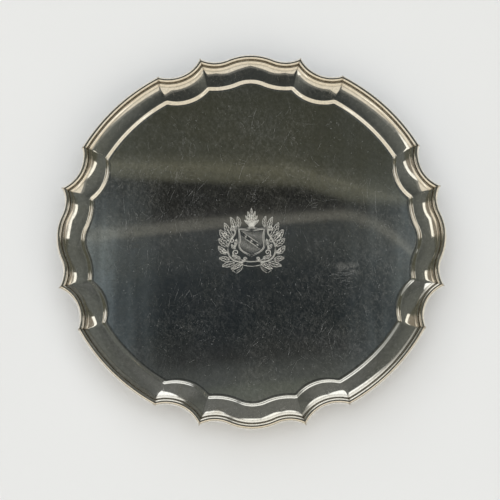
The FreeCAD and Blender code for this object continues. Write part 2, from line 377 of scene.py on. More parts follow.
def piece_from(name, vertices, faces, replaced, material, crease=38.0, attributes=None):
    """Makes a smooth-shaded mesh piece of the salver's one body."""
    mesh = bpy.data.meshes.new(name)
    mesh.from_pydata([tuple(v) for v in np.asarray(vertices, float) * MM], [], faces)
    face_outward(mesh)
    mesh.validate()
    mesh.shade_smooth()
    mesh.set_sharp_from_angle(angle=math.radians(crease))
    for key, values in (attributes or {}).items():
        layer = mesh.attributes.new(key, "FLOAT", "POINT")
        layer.data.foreach_set("value", np.asarray(values, np.float32))
    obj = new_object(name, mesh)
    mesh.materials.append(material)
    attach(obj, "root")
    if replaced:
        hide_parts(*replaced)
    return obj


def strip_faces(rows, columns, first=0, wrap_rows=False, wrap_columns=False):
    """Quads over a grid of vertices that is stored row by row."""
    faces = []
    for r in range(rows if wrap_rows else rows - 1):
        for c in range(columns if wrap_columns else columns - 1):
            a, b = first + r * columns, first + (r + 1) % rows * columns
            e = (c + 1) % columns
            faces.append((a + c, b + c, b + e, a + e))
    return faces


def settle(vertices):
    """Adds the sheet's warp to heights that are measured from the well."""
    for v in vertices:
        v[2] += WELL + warp(v[0], v[1])
    return vertices


WELL_RINGS = (0.993, 0.975, 0.95, 0.915, 0.87, 0.82, 0.76, 0.7, 0.63, 0.56, 0.48, 0.4, 0.32, 0.24, 0.16,
              0.08)
FLANGE_SOIL = 0.35


def build_plate(material):
    """The raised sheet: rings from its hidden edge to the middle of the well, and back below."""
    outline, vertices, dirt = {}, [], []

    def ring(depth, height, scale=1.0):
        key = round(float(depth), 5)
        if key not in outline:
            outline[key] = whole_line(depth)
        soil = max(1.0 - abs(depth - MOULDING_WIDTH) / FLANGE_SOIL, 0.0) if scale == 1.0 else 0.0
        for x, y in outline[key] * scale:
            vertices.append([x, y, height])
            dirt.append(soil)

    def middle(height):
        vertices.append([0.0, 0.0, height])
        dirt.append(0.0)
        return len(vertices) - 1

    face = plate_face()
    for depth, height in face:
        ring(depth, height)
    columns = len(vertices) // len(face)
    for scale in WELL_RINGS:
        ring(STEP_FOOT_IN, 0.0, scale)
    last = len(vertices) - columns
    faces = strip_faces(last // columns + 1, columns, wrap_columns=True)
    centre = middle(0.0)
    faces += [(last + c, centre, last + (c + 1) % columns) for c in range(columns)]
    base = len(vertices)
    for scale in WELL_RINGS[::-2]:
        ring(STEP_FOOT_IN, -SHEET, scale)
    for depth, height in face[::-1]:
        ring(depth, height - SHEET)
    rim = len(vertices) - columns
    faces += strip_faces((rim - base) // columns + 1, columns, first=base, wrap_columns=True)
    centre = middle(-SHEET)
    faces += [(centre, base + c, base + (c + 1) % columns) for c in range(columns)]
    faces += [(rim + c, c, (c + 1) % columns, rim + (c + 1) % columns) for c in range(columns)]
    plate = piece_from("plate_sheet", settle(vertices), faces, ["plate"], material,
                       crease=75.0, attributes={"soil": dirt})
    crisp_ring(plate.data, columns)


def crisp_ring(mesh, columns):
    """Marks the bend where the shelf leaves the flange, the second ring of the sheet, as a sharp edge."""
    ends = np.zeros(len(mesh.edges) * 2, np.int32)
    mesh.edges.foreach_get("vertices", ends)
    ring = (ends.reshape(-1, 2) // columns == 1).all(axis=1)
    layer = mesh.attributes.get("sharp_edge") or mesh.attributes.new("sharp_edge", "BOOLEAN", "EDGE")
    sharp = np.zeros(len(mesh.edges), bool)
    layer.data.foreach_get("value", sharp)
    layer.data.foreach_set("value", sharp | ring)


def bell(distance, spread):
    return math.exp(-((distance / spread) ** 2))


def build_border(index, material):
    """One length of moulding, from mitre to mitre."""
    name = SECTIONS[index][0]
    loop = moulding_loop()
    lines = [section_line(index, depth) for depth, _ in loop]
    columns = len(lines[0])
    vertices, dirt = [], []
    for (depth, height), line in zip(loop, lines):
        trench = max(bell(depth - GROOVE_IN, 0.18), 0.6 * bell(depth - MOULDING_WIDTH, 0.13))
        for c, (x, y) in enumerate(line):
            vertices.append([x, y, height])
            ends = min(math.dist(line[0], (x, y)), math.dist(line[-1], (x, y)))
            dirt.append(max(trench, 0.7 * bell(ends, 0.5)))
    rows = len(loop)
    faces = strip_faces(rows, columns, wrap_rows=True)
    faces.append(tuple(r * columns for r in range(rows)))
    faces.append(tuple(r * columns + columns - 1 for r in range(rows - 1, -1, -1)))
    piece_from(name + "_cast", settle(vertices), faces, [name], material,
               attributes={"soil": dirt})


# ---- engraving

def bezier(a, b, c, d, count=16):
    t = np.linspace(0, 1, count)[:, None]
    a, b, c, d = (np.array(p, float) for p in (a, b, c, d))
    return a * (1 - t) ** 3 + 3 * b * t * (1 - t) ** 2 + 3 * c * t * t * (1 - t) + d * t**3


def normals(line):
    along = np.gradient(line, axis=0)
    along /= np.maximum(np.linalg.norm(along, axis=1), 1e-9)[:, None]
    return np.column_stack([-along[:, 1], along[:, 0]]), along


class Engraving:
    """Strokes cut with a graver, each a polyline with a width that swells and thins."""

    def __init__(self, seed):
        self.strokes = []
        self.chance = random.Random(seed)

    def cut(self, line, width):
        self.strokes.append((np.array(line, float), width))

    def both(self, line, width):
        """The stroke and its mirror image, a little differently cut."""
        line = np.array(line, float)
        self.cut(line, width)
        wobble = self.chance.uniform(-0.12, 0.12)
        self.cut(line * (-1, 1) + (wobble, self.chance.uniform(-0.1, 0.1)), width)

    def leaf(self, spine, half_width, lobes, width=0.3, mirror=True):
        """An acanthus leaf: a midrib, a lobed edge each side, and veins to the lobes."""
        add = self.both if mirror else self.cut
        spine = evenly(spine, 0.3)
        across, along = normals(spine)
        share = np.linspace(0, 1, len(spine))
        add(spine, width)
        body = half_width * np.sin(math.pi * np.clip(share, 0, 1) ** 0.75) ** 0.8
        for side in (-1, 1):
            swell = body * (0.55 + 0.45 * np.abs(np.sin(math.pi * lobes * share)))
            sweep = body * 0.55 * (share * lobes % 1.0)
            add(spine + side * across * swell[:, None] + along * sweep[:, None], width)
            for k in range(lobes):
                start = min(int((k + 0.1) / lobes * len(spine)), len(spine) - 2)
                tip = min(int((k + 0.72) / lobes * len(spine)), len(spine) - 1)
                end = spine[tip] + side * across[tip] * body[tip] * 0.85 + along[tip] * body[tip] * 0.3
                bend = spine[start] + along[start] * 0.6 * math.dist(spine[start], end)
                add(bezier(spine[start], bend, (bend + end) / 2, end, 7), 0.22)

    def spiral(self, centre, radius, start, turns, width, hand=1, inner=0.18, mirror=True):
        t = np.linspace(0, 1, 34)
        reach = radius * (1 - (1 - inner) * t)
        angle = start + hand * turns * math.tau * t
        line = np.column_stack([centre[0] + reach * np.cos(angle), centre[1] + reach * np.sin(angle)])
        (self.both if mirror else self.cut)(line, width)

    def mesh(self, name, centre, material, height=0.05):
        vertices, faces = [], []
        for line, width in self.strokes:
            if len(line) < 2:
                continue
            across, _ = normals(line)
            share = np.linspace(0, 1, len(line))
            taper = np.clip(np.minimum(share, 1 - share) * 7, 0.12, 1) ** 0.7
            for k, (p, n, w) in enumerate(zip(line, across, taper * width / 2)):
                x, y = p[0] + centre[0], p[1] + centre[1]
                z = WELL + warp(x, y)
                first = len(vertices)
                vertices += [(x - n[0] * w, y - n[1] * w, z - 0.004), (x, y, z + height * w / 0.2),
                             (x + n[0] * w, y + n[1] * w, z - 0.004)]
                if k:
                    for side in (0, 1):
                        faces.append((first - 3 + side, first - 2 + side, first + 1 + side, first + side))
        piece_from(name, vertices, faces, None, material, crease=15.0)


def shield_outline(grow=0.0, count=14):
    """Right half of the shield, from the middle of its top down to its point."""
    w, top, foot = 9.6 + grow, 9.4 + grow, -11.2 - grow * 1.2
    head = bezier((0, top - 0.9), (3.5, top - 0.2), (6.0, top + 0.3), (w + 0.4, top + 0.6), count)
    side = bezier((w + 0.4, top + 0.6), (w - 1.1, top - 3), (w - 0.6, 0), (w - 0.2, -3.2), count)
    base = bezier((w - 0.2, -3.2), (w - 0.5, -8.2), (3.4, foot + 1.9), (0, foot), count)
    return np.vstack([head, side[1:], base[1:]])


def draw_shield(e):
    for grow, width in ((0.0, 0.42), (1.0, 0.26)):
        e.both(shield_outline(grow), width)
    edge = shield_outline(-0.35, 40)
    band = ((-8.6, 6.9), (8.2, -5.4))
    slope = (band[1][1] - band[0][1]) / (band[1][0] - band[0][0])

    def band_at(x):
        return band[0][1] + slope * (x - band[0][0])

    for x in np.arange(-8.8, 8.9, 0.8):
        column = edge[np.abs(edge[:, 0] - abs(x)) < 0.35, 1]
        if len(column) < 2:
            continue
        low, high = column.min() + 0.4, column.max() - 0.3
        middle = band_at(x)
        for a, b in ((low, min(middle - 2.0, high)), (max(middle + 2.0, low), high)):
            if b - a > 0.8:
                e.cut([(x, a), (x, (a + b) / 2), (x, b)], 0.2)
    for shift in (-1.9, -1.45, 1.45, 1.9):
        e.cut([(x, band_at(x) + shift * 1.2) for x in (-8.5, 0, 7.9)], 0.26)
    for x in (-4.6, 0.0, 4.6):
        y = band_at(x)
        for k in range(4):
            a = math.radians(45 + 90 * k)
            tip = (x + 1.15 * math.cos(a), y + 1.15 * math.sin(a))
            bend = (x + 0.7 * math.cos(a + 0.8), y + 0.7 * math.sin(a + 0.8))
            e.cut(bezier((x, y), bend, tip, tip, 5), 0.3)
        e.spiral((x, y), 0.34, 0, 1, 0.2, inner=1.0, mirror=False)


def draw_scrolls(e):
    """The framing C and S scrolls and their leaves, drawn on the right and mirrored."""
    stem = bezier((4.0, -15.6), (11.0, -18.5), (19.5, -14.5), (18.6, -5.5), 26)
    upper = bezier((18.6, -5.5), (17.8, 2.5), (12.2, 3.8), (12.6, 9.8), 26)
    for shift in (-0.45, 0.0, 0.45):
        for curve in (stem, upper):
            across, _ = normals(curve)
            e.both(curve + across * shift, 0.26)
    for centre, radius, start, turns, hand in (
        ((14.6, 10.6), 2.6, 200, 1.5, -1),
        ((12.6, -8.9), 2.9, 250, 1.45, 1),
        ((15.6, 0.6), 2.3, 20, 1.3, 1),
        ((5.2, -14.2), 1.7, 210, 1.3, -1),
        ((21.5, -7.6), 2.2, 170, 1.3, 1),
        ((20.9, 5.6), 2.3, 230, 1.35, 1),
    ):
        for inset in (0.0, 0.5):
            e.spiral(centre, radius - inset, math.radians(start), turns, 0.28, hand)
    leaves = (
        ((13.0, -16.6), (17.0, -19.0), (20.5, -18.8), (23.4, -20.4), 2.3, 4),
        ((17.0, -14.4), (20.5, -15.0), (23.4, -13.0), (25.6, -13.9), 2.1, 4),
        ((18.8, -9.0), (22.0, -9.6), (24.6, -6.0), (26.2, -3.6), 2.2, 4),
        ((18.6, -4.2), (20.8, -2.2), (23.6, -0.6), (26.0, 2.6), 2.3, 4),
        ((17.4, 0.2), (20.4, 2.2), (22.8, 6.4), (25.2, 9.8), 2.5, 5),
        ((14.6, 3.6), (18.0, 6.6), (19.6, 11.4), (21.4, 15.6), 2.4, 5),
        ((12.8, 7.6), (14.0, 11.5), (13.8, 15.6), (16.8, 20.2), 2.0, 5),
        ((10.6, 11.4), (9.8, 14.2), (9.6, 17.0), (11.4, 20.8), 1.6, 4),
        ((8.6, -14.2), (11.4, -12.6), (13.6, -13.0), (15.4, -10.9), 1.5, 3),
        ((12.4, -6.0), (14.0, -5.0), (15.4, -4.2), (15.6, -2.2), 1.3, 3),
        ((11.6, 2.2), (12.6, 0.0), (12.2, -3.0), (13.4, -5.0), 1.2, 3),
        ((7.0, -16.6), (9.4, -19.4), (13.0, -20.6), (16.4, -22.6), 1.7, 4),
    )
    for a, b, c, d, half_width, lobes in leaves:
        e.leaf(bezier(a, b, c, d, 18), half_width, lobes)


def draw_plume(e):
    """A palmette above the shield: feathers that fan out from a small collar."""
    for angle, length, half_width in ((0, 16.2, 1.7), (13, 14.0, 1.5), (27, 11.2, 1.4), (44, 8.8, 1.2)):
        a = math.radians(angle)
        root = (1.1 * math.sin(a) * 2, 11.6)
        tip = (length * math.sin(a) * 0.92, 11.4 + length * math.cos(a))
        hip = (length * 0.2 * math.sin(a), 11.6 + length * 0.5)
        line = bezier(root, hip, (tip[0] * 0.8, tip[1] - length * 0.25), tip, 16)
        e.leaf(line, half_width, 5 if angle else 6, mirror=angle > 0)
    for y, reach in ((11.4, 3.6), (10.6, 3.2)):
        e.cut(bezier((-reach, y - 0.3), (-1.2, y + 0.5), (1.2, y + 0.5), (reach, y - 0.3), 9), 0.3)
    for x in np.arange(-2.8, 2.9, 0.7):
        e.cut([(x, 10.5), (x, 11.0), (x, 11.5)], 0.24)


def draw_ribbon(e):
    """An empty ribbon below the shield, with folded tails."""
    for y, width in ((-16.4, 0.32), (-20.3, 0.32), (-16.9, 0.2)):
        e.cut(bezier((-9.6, y + 2.4), (-4.0, y - 0.7), (4.0, y - 0.7), (9.6, y + 2.4), 22), width)
    e.both([(9.6, -14.0), (9.9, -16.0), (9.6, -17.9)], 0.3)
    e.both(bezier((9.6, -17.9), (11.0, -19.4), (8.2, -20.4), (7.4, -18.9), 8), 0.26)
    e.both(bezier((8.2, -20.2), (11.0, -21.6), (13.6, -22.6), (15.6, -24.2), 9), 0.3)
    e.both(bezier((7.2, -18.6), (6.4, -23.0), (10.0, -25.0), (12.6, -26.0), 9), 0.3)
    e.both([(15.6, -24.2), (13.6, -24.6), (12.6, -26.0)], 0.28)
    for k in range(7):
        x, drop = 8.6 + 0.55 * k, 0.35 * k
        e.both([(x, -20.9 - drop), (x - 0.5, -22.0 - drop), (x - 0.9, -23.0 - drop * 0.8)], 0.18)


def build_engraving(material):
    e = Engraving(ENGRAVING_SEED)
    draw_shield(e)
    draw_scrolls(e)
    draw_plume(e)
    draw_ribbon(e)
    e.mesh("plate_engraving", (0.2, -1.6), material)


WORN_PLACES = (  # where, how long, which way, how many, how scattered: knocks and rubbed spots
    (-60, 52, 16, 78, 9, 3.0), (-47, 38, 13, 66, 9, 3.5), (-71, 60, 8, 40, 4, 4.0),
    (-9, 62, 9, 160, 3, 1.2), (-6, 61, 7, 30, 3, 1.2), (2.5, 36, 5, 60, 10, 1.6),
    (2.0, 35, 5, 130, 8, 1.4), (74, -30, 10, 4, 16, 2.6), (66, -29, 7, 10, 8, 2.0),
    (48, 27, 6, 12, 4, 1.5), (40, 2, 8, 100, 5, 3.5), (-76, -20, 14, 84, 6, 4.0),
    (-96, 10, 18, 88, 12, 5.0), (100, -30, 15, 92, 9, 5.0), (-58, -46, 12, 70, 6, 4.0),
    (58, -70, 12, 55, 5, 4.0), (-82, 66, 5, 20, 3, 1.5), (30, 80, 10, 120, 4, 4.0),
    (0, -92, 14, 50, 4, 3.0), (92, 40, 9, 80, 4, 3.0),
)


def draw_worn_places(e):
    chance = e.chance
    for x, y, length, lean, count, spread in WORN_PLACES:
        for _ in range(count):
            a = math.radians(chance.gauss(lean, 9))
            cx, cy = chance.gauss(x, spread), chance.gauss(y, spread * 1.6)
            dx = length * chance.uniform(0.2, 0.6) * math.cos(a)
            dy = length * chance.uniform(0.2, 0.6) * math.sin(a)
            line = bezier((cx - dx, cy - dy), (cx + 0.3, cy), (cx, cy + 0.3), (cx + dx, cy + dy), 5)
            e.cut(line, chance.uniform(0.05, 0.15))


def draw_hairlines(e):
    """Marks of knives and cleaning: mostly short, straight and upright, and few in the engraving."""
    chance = e.chance
    for _ in range(HAIRLINE_COUNT):
        radius = SCRATCHED_REACH * math.sqrt(chance.random())
        x, y = polar(radius, chance.uniform(0, math.tau))
        if math.hypot(x, y + 1.6) < 27 and chance.random() < 0.8:
            continue
        length = min(2.0 + chance.expovariate(1 / 5.0), 34.0)
        lean = chance.gauss(74, 34) if chance.random() < 0.62 else chance.uniform(0, 180)
        a = math.radians(lean)
        bow = chance.uniform(-0.08, 0.08) * length
        dx, dy = length * math.cos(a) / 2, length * math.sin(a) / 2
        if max(math.hypot(x + dx, y + dy), math.hypot(x - dx, y - dy)) > SCRATCHED_REACH:
            continue
        aside = (-bow * math.sin(a), bow * math.cos(a))
        ends = ((x - dx, y - dy), (x - dx / 3 + aside[0], y - dy / 3 + aside[1]),
                (x + dx / 3 + aside[0], y + dy / 3 + aside[1]), (x + dx, y + dy))
        e.cut(bezier(*ends, 6), chance.uniform(0.045, 0.12))


def draw_nicks(e):
    chance = e.chance
    for _ in range(NICK_COUNT):
        x, y = polar(SCRATCHED_REACH * math.sqrt(chance.random()), chance.uniform(0, math.tau))
        dx, dy = polar(chance.uniform(0.2, 0.8), chance.uniform(0, math.tau))
        e.cut([(x - dx, y - dy), (x, y), (x + dx, y + dy)], chance.uniform(0.1, 0.3))


def build_scratches(material):
    e = Engraving(SCRATCH_SEED)
    draw_worn_places(e)
    draw_hairlines(e)
    draw_nicks(e)
    e.mesh("plate_hairlines", (0.0, 0.0), material, height=0.01)


# ---- feet

LEG = (  # reach outward, drop below the sheet, half length, half width, tip in degrees, flute depth
    (0.0, 0.02, 12.4, 8.9, 0, 0.10),
    (0.0, 0.7, 12.0, 8.5, 1, 0.12),
    (0.2, 1.6, 10.4, 7.3, 3, 0.13),
    (0.3, 3.0, 7.6, 5.6, 6, 0.10),
    (0.1, 4.6, 5.3, 4.5, 8, 0.06),
    (-0.5, 7.0, 3.7, 3.9, 6, 0.03),
    (-1.1, 9.6, 3.0, 3.5, -6, 0.02),
    (-1.1, 12.0, 2.9, 3.5, -22, 0.02),
    (0.0, 14.2, 3.0, 3.8, -42, 0.02),
    (2.0, 15.7, 3.2, 4.1, -60, 0.02),
    (4.4, 16.5, 3.4, 4.3, -76, 0.0),
)


def smooth_rows(table, count):
    """Rows between the table's own, on a smooth curve through them."""
    table = np.array(table, float)
    where = np.linspace(0, len(table) - 1, count)
    rows = []
    for t in where:
        k = min(int(t), len(table) - 2)
        f = t - k
        p0, p1, p2, p3 = (table[min(max(k + j, 0), len(table) - 1)] for j in (-1, 0, 1, 2))
        rows.append(0.5 * (2 * p1 + (p2 - p0) * f + (2 * p0 - 5 * p1 + 4 * p2 - p3) * f**2
                           + (3 * p1 - p0 - 3 * p2 + p3) * f**3))
    return rows


def circle(count):
    return [polar(1.0, math.tau * j / count) for j in range(count)]


def capped_faces(rows, around):
    """The sides of a stack of rings, and a flat face over each end."""
    faces = strip_faces(rows, around, wrap_columns=True)
    faces.append(tuple(range(around)))
    faces.append(tuple(rows * around - 1 - j for j in range(around)))
    return faces


def tube(path, radii, around=8):
    """A round tube along a path, with a radius at each point and closed ends."""
    path = np.array(path, float)
    along = np.gradient(path, axis=0)
    along /= np.linalg.norm(along, axis=1)[:, None]
    vertices = []
    for p, t, r in zip(path, along, radii):
        up = np.array((0.0, 1.0, 0.0)) if abs(t[1]) < 0.9 else np.array((1.0, 0.0, 0.0))
        u = np.cross(t, up)
        u /= np.linalg.norm(u)
        v = np.cross(u, t)
        vertices += [p + r * (u * c + v * s) for c, s in circle(around)]
    return vertices, capped_faces(len(path), around)


def lathe(profile, centre, around=48):
    """A closed solid turned about the Y axis through centre, from (radius, y) points on the axis."""
    cx, cy, cz = centre
    ring = circle(around)
    vertices = [(cx + radius * c, cy + y, cz + radius * s) for radius, y in profile[1:-1] for c, s in ring]
    faces = strip_faces(len(profile) - 2, around, wrap_columns=True)
    low, high, last = len(vertices), len(vertices) + 1, len(vertices) - around
    vertices += [(cx, cy + profile[0][1], cz), (cx, cy + profile[-1][1], cz)]
    faces += [(low, j, (j + 1) % around) for j in range(around)]
    faces += [(high, last + (j + 1) % around, last + j) for j in range(around)]
    return vertices, faces


def leg_point(row, along, across):
    """A point of the leg, from its place along and across one row of the leg's table."""
    reach, drop, tip = row[0], row[1], math.radians(row[4])
    return (reach + along * math.cos(tip), across, UNDER - drop - along * math.sin(tip))


def leg_shell(rows, around=72):
    """The leg itself: a fluted shell under the sheet that narrows and curls outward."""
    vertices = []
    for row in rows:
        half_length, half_width, flute = row[2], row[3], row[5]
        for j, (c, s) in enumerate(circle(around)):
            swell = 1 - flute * (0.5 + 0.5 * math.cos(18 * math.pi * j / around + math.pi)) ** 2
            vertices.append(leg_point(row, half_length * swell * c, half_width * swell * s))
    return vertices, capped_faces(len(rows), around)


def toe_shells():
    """The scroll's rolled end, and the raised spiral on each side of it."""
    side = [(0, 5.35), (0.5, 5.3), (0.95, 5.05), (1.1, 4.55), (1.5, 4.35), (3.0, 4.35), (3.35, 4.75),
            (3.75, 4.8), (4.1, 4.5), (4.2, 3.9), (4.2, 2.6), (4.02, 2.3), (4.02, 1.9), (4.2, 1.6)]
    shells = [lathe([(r, -y) for r, y in side] + [(4.2, 0.0)] + side[::-1], TOE)]
    t = np.linspace(0, 1, 60)
    reach = 3.3 - 2.1 * t
    angle = math.radians(-40) - 1.75 * math.tau * t
    for y in (-4.45, 4.45):
        path = [TOE[0] + reach * np.cos(angle), np.full(len(t), y), TOE[2] + reach * np.sin(angle)]
        shells.append(tube(np.column_stack(path), 0.34 - 0.14 * t))
    return shells


def reed_shells(rows):
    """Three reeds down the front of the leg, thickest half way."""
    shells = []
    for offset in (-1.7, 0.0, 1.7):
        path, radii = [], []
        for k, row in enumerate(rows):
            across = offset * row[3] / 4.2
            along = row[2] * math.sqrt(max(1 - (across / row[3]) ** 2, 0)) * 0.97
            path.append(leg_point(row, along, across))
            radii.append(0.12 + 0.42 * math.sin(math.pi * min(k / (len(rows) - 1) * 1.05, 1)))
        shells.append(tube(path, radii))
    return shells


def sole_shell(around=48):
    rings = ((2.35, -0.6), (2.1, -0.15), (1.7, 0.0), (0.4, 0.0), (0.12, -0.1), (0.0, -0.35))
    sole = [(SOLE_IN + (5.0 + grow) * c, (4.4 + grow) * s, z) for z, grow in rings for c, s in circle(around)]
    return sole, capped_faces(len(rings), around)


def foot_shells():
    """The closed shells of one foot in its own frame: +X outward, z up from the table."""
    rows = smooth_rows(LEG, 46)
    return [leg_shell(rows)] + toe_shells() + reed_shells(rows[6:40]) + [sole_shell()]


def build_foot(quarter, material):
    c, s = polar(1.0, math.radians(45 + 90 * quarter))
    vertices, faces = [], []
    for points, shell_faces in foot_shells():
        first = len(vertices)
        vertices += [((FOOT_RADIUS + x) * c - y * s, (FOOT_RADIUS + x) * s + y * c, z) for x, y, z in points]
        faces += [tuple(first + v for v in face) for face in shell_faces]
    name = "foot_" + CORNERS[quarter]
    piece_from(name + "_cast", vertices, faces, [name], material)


# ---- materials

YELLOW_STAIN = (0.62, 0.55, 0.42, 1)
BROWN_SOIL = (0.16, 0.115, 0.06, 1)


class Shader:
    """Short ways to add and link nodes in one tree."""

    def __init__(self, tree):
        self.tree = tree
        tree.nodes.clear()

    def add(self, kind, inputs=None, **settings):
        node = self.tree.nodes.new("ShaderNode" + kind)
        for key, value in settings.items():
            setattr(node, key, value)
        for key, value in (inputs or {}).items():
            self.feed(node.inputs[key], value)
        return node

    def feed(self, socket, value):
        if isinstance(value, bpy.types.NodeSocket):
            self.tree.links.new(value, socket)
        else:
            socket.default_value = value

    def math(self, operation, a, b=0.0, c=0.0, clamp=False):
        return self.add("Math", {0: a, 1: b, 2: c}, operation=operation, use_clamp=clamp).outputs[0]

    def times(self, a, b):
        return self.math("MULTIPLY", a, b)

    def above(self, value, least):
        """How far value is over least, and 0 below it."""
        return self.math("MAXIMUM", self.math("SUBTRACT", value, least), 0.0)

    def noise(self, vector, scale, detail=2.0, roughness=0.5, distortion=0.0):
        inputs = {"Vector": vector, "Scale": scale, "Detail": detail, "Roughness": roughness}
        return self.add("TexNoise", {**inputs, "Distortion": distortion}).outputs["Fac"]

    def span(self, value, low, high, out_low=0.0, out_high=1.0, kind="SMOOTHSTEP"):
        """value's place between low and high, as a number from out_low to out_high, eased by default."""
        inputs = {"Value": value, "From Min": low, "From Max": high, "To Min": out_low, "To Max": out_high}
        return self.add("MapRange", inputs, interpolation_type=kind).outputs[0]

    def mix(self, share, a, b):
        return self.add("Mix", {0: share, 6: a, 7: b}, data_type="RGBA").outputs[2]

    def placed(self, vector, scale=(1, 1, 1), turn=0.0, shift=(0, 0, 0)):
        inputs = {"Vector": vector, "Location": shift, "Rotation": (0, 0, turn), "Scale": scale}
        return self.add("Mapping", inputs).outputs[0]

    def millimetres(self):
        metres = self.add("TexCoord").outputs["Object"]
        return self.add("VectorMath", {0: metres, "Scale": 1 / MM}, operation="SCALE").outputs[0]

    def ramp(self, value, low, high, stops):
        """A colour for each stop, from low at 0 to high at 1."""
        node = self.add("ValToRGB", {"Fac": self.span(value, low, high, kind="LINEAR")})
        elements = node.color_ramp.elements
        while len(elements) > 1:
            elements.remove(elements[-1])
        for k, (position, colour) in enumerate(stops):
            element = elements[0] if k == 0 else elements.new(position)
            element.position = position
            element.color = (*colour, 1.0)
        return node.outputs[0]

    def surface(self, inputs):
        self.add("OutputMaterial", {"Surface": self.add("BsdfPrincipled", inputs).outputs[0]})


def new_material(name):
    material = bpy.data.materials.new(name)
    material.use_nodes = True
    return material, Shader(material.node_tree)


def dimmed(colour, factors):
    return tuple(c * f for c, f in zip(colour[:3], factors)) + (1,)


def hairlines(s, where, angles, length, pitch, low, high):
    """Masks of straight fine scratches: stretched noise in several directions, in patches."""
    total = None
    for k, angle in enumerate(angles):
        bent = s.placed(where, turn=math.radians(angle), shift=(3.7 * k, 1.9 * k, 0.0))
        stretched = s.placed(bent, scale=(1 / length, 1 / pitch, 0.02))
        lines = s.span(s.noise(stretched, 1.0, 1.0, 0.4), low, high)
        patch = s.span(s.noise(bent, 0.045 + 0.01 * k, 1.0), 0.42, 0.62)
        lines = s.times(lines, patch)
        total = lines if total is None else s.math("MAXIMUM", total, lines)
    return total


def polish_haze(s, where):
    """Clouds and streaks of scratches too fine to see, and one smear, which scatter a little light."""
    brushed = s.noise(s.placed(where, scale=(0.02, 0.9, 1), turn=0.05), 1.0, 4.0, 0.7)
    clouds = s.noise(where, 0.016, 5.0, 0.62, 0.6)
    clouds = s.math("MULTIPLY_ADD", clouds, 0.75, s.times(brushed, 0.25))
    marks = s.noise(where, 0.36, 5.0, 0.82)
    for degrees in (14, -38):
        turned = s.placed(where, turn=math.radians(degrees))
        streaks = s.placed(turned, scale=(0.55, 0.13, 1), shift=(degrees, 0, 0))
        marks = s.math("MAXIMUM", marks, s.noise(streaks, 1.0, 4.0, 0.8))
    marks = s.span(marks, 0.50, 0.68, 0.05, 2.3)
    worn = s.times(s.span(clouds, 0.40, 0.64, 0.35, 1.4), marks)
    smear = s.add("VectorMath", {0: where, 1: (-76.0, 24.0, 0.0)}).outputs[0]
    smear = s.placed(s.placed(smear, turn=0.12), scale=(0.45, 1.0, 0.0))
    smear = s.add("VectorMath", {0: smear}, operation="LENGTH").outputs["Value"]
    smear = s.times(s.span(smear, 6.5, 1.5), s.span(s.noise(where, 0.14, 4.0, 0.7), 0.38, 0.58))
    return s.math("MULTIPLY_ADD", smear, 5.0, worn)


def silver(name, base, rough, scratch, grain_pitch, grain_depth, soil, wave_depth, film):
    """Old silver: bright metal, hairlines, faint tarnish in patches and brown soil in the hollows."""
    material, s = new_material(name)
    where = s.millimetres()
    cloud = s.noise(where, 0.022, 4.0, 0.6)
    stain = s.span(s.noise(where, 0.06, 5.0, 0.65, 0.4), 0.60, 0.78)
    lines = hairlines(s, where, (78, 101, 62, 15, 140), 18.0, 0.14, 0.70, 0.75)
    fine = hairlines(s, where, (88, 33, 120), 24.0, 0.10, 0.67, 0.74)
    specks = s.span(s.noise(where, 1.7, 2.0, 0.5), 0.64, 0.72)
    specks = s.times(specks, s.span(cloud, 0.35, 0.6, 0.3, 1.0))
    lines = s.math("MAXIMUM", lines, s.times(specks, 0.8))

    warm = s.mix(s.span(cloud, 0.35, 0.65), base, dimmed(base, (0.97, 0.955, 0.91)))
    stained = s.mix(s.times(stain, 0.35), warm, YELLOW_STAIN)
    mottle = s.span(s.noise(where, 0.45, 5.0, 0.8), 0.40, 0.62, 0.0, 0.26)
    stained = s.mix(mottle, stained, dimmed(base, (0.45, 0.45, 0.45)))
    patchy = s.span(s.noise(where, 0.35, 3.0, 0.6), 0.25, 0.6, 0.45, 1.0)
    grime = s.times(s.times(s.add("Attribute", attribute_name="soil").outputs["Fac"], patchy), soil)
    colour = s.mix(grime, stained, BROWN_SOIL)

    haze = s.times(s.math("MULTIPLY_ADD", fine, 0.6, lines), scratch)
    roughness = s.math("ADD", s.span(cloud, 0.3, 0.7, rough * 0.8, rough * 1.3), haze)
    roughness = s.math("MULTIPLY_ADD", stain, 0.05, roughness)
    roughness = s.math("MULTIPLY_ADD", grime, 0.35, roughness, clamp=True)

    normal = None
    for height, depth, strength in (
        (s.noise(where, 0.03, 1.0, 0.4), wave_depth, 1.0),
        (s.noise(where, 1 / grain_pitch, 3.0, 0.55), grain_depth, 0.6),
        (s.math("SUBTRACT", 1.0, lines), 0.0008, 0.5),
    ):
        bump = s.add("Bump", {"Height": height, "Distance": depth * MM, "Strength": strength})
        if normal is not None:
            s.feed(bump.inputs["Normal"], normal)
        normal = bump.outputs[0]
    metal = s.math("MULTIPLY_ADD", polish_haze(s, where), -film, 1.0)
    inputs = {"Base Color": colour, "Metallic": metal, "Roughness": roughness, "Normal": normal}
    s.surface(inputs)
    return material


def cut_silver(name, base, rough, spread, metal):
    """The bottom of a graver's cut or a scratch: torn metal that scatters light, unlike the polish."""
    material, s = new_material(name)
    where = s.millimetres()
    patch = s.noise(where, 0.4, 3.0, 0.6)
    colour = s.mix(s.span(patch, 0.35, 0.65), base, dimmed(base, (0.72, 0.72, 0.72)))
    roughness = s.span(patch, 0.3, 0.7, rough - spread, rough + spread)
    bump = s.add("Bump", {"Height": s.noise(where, 6.0, 2.0), "Distance": 0.01 * MM, "Strength": 0.5})
    inputs = {"Base Color": colour, "Metallic": metal, "Roughness": roughness, "Normal": bump.outputs[0]}
    s.surface(inputs)
    return material


# ---- studio

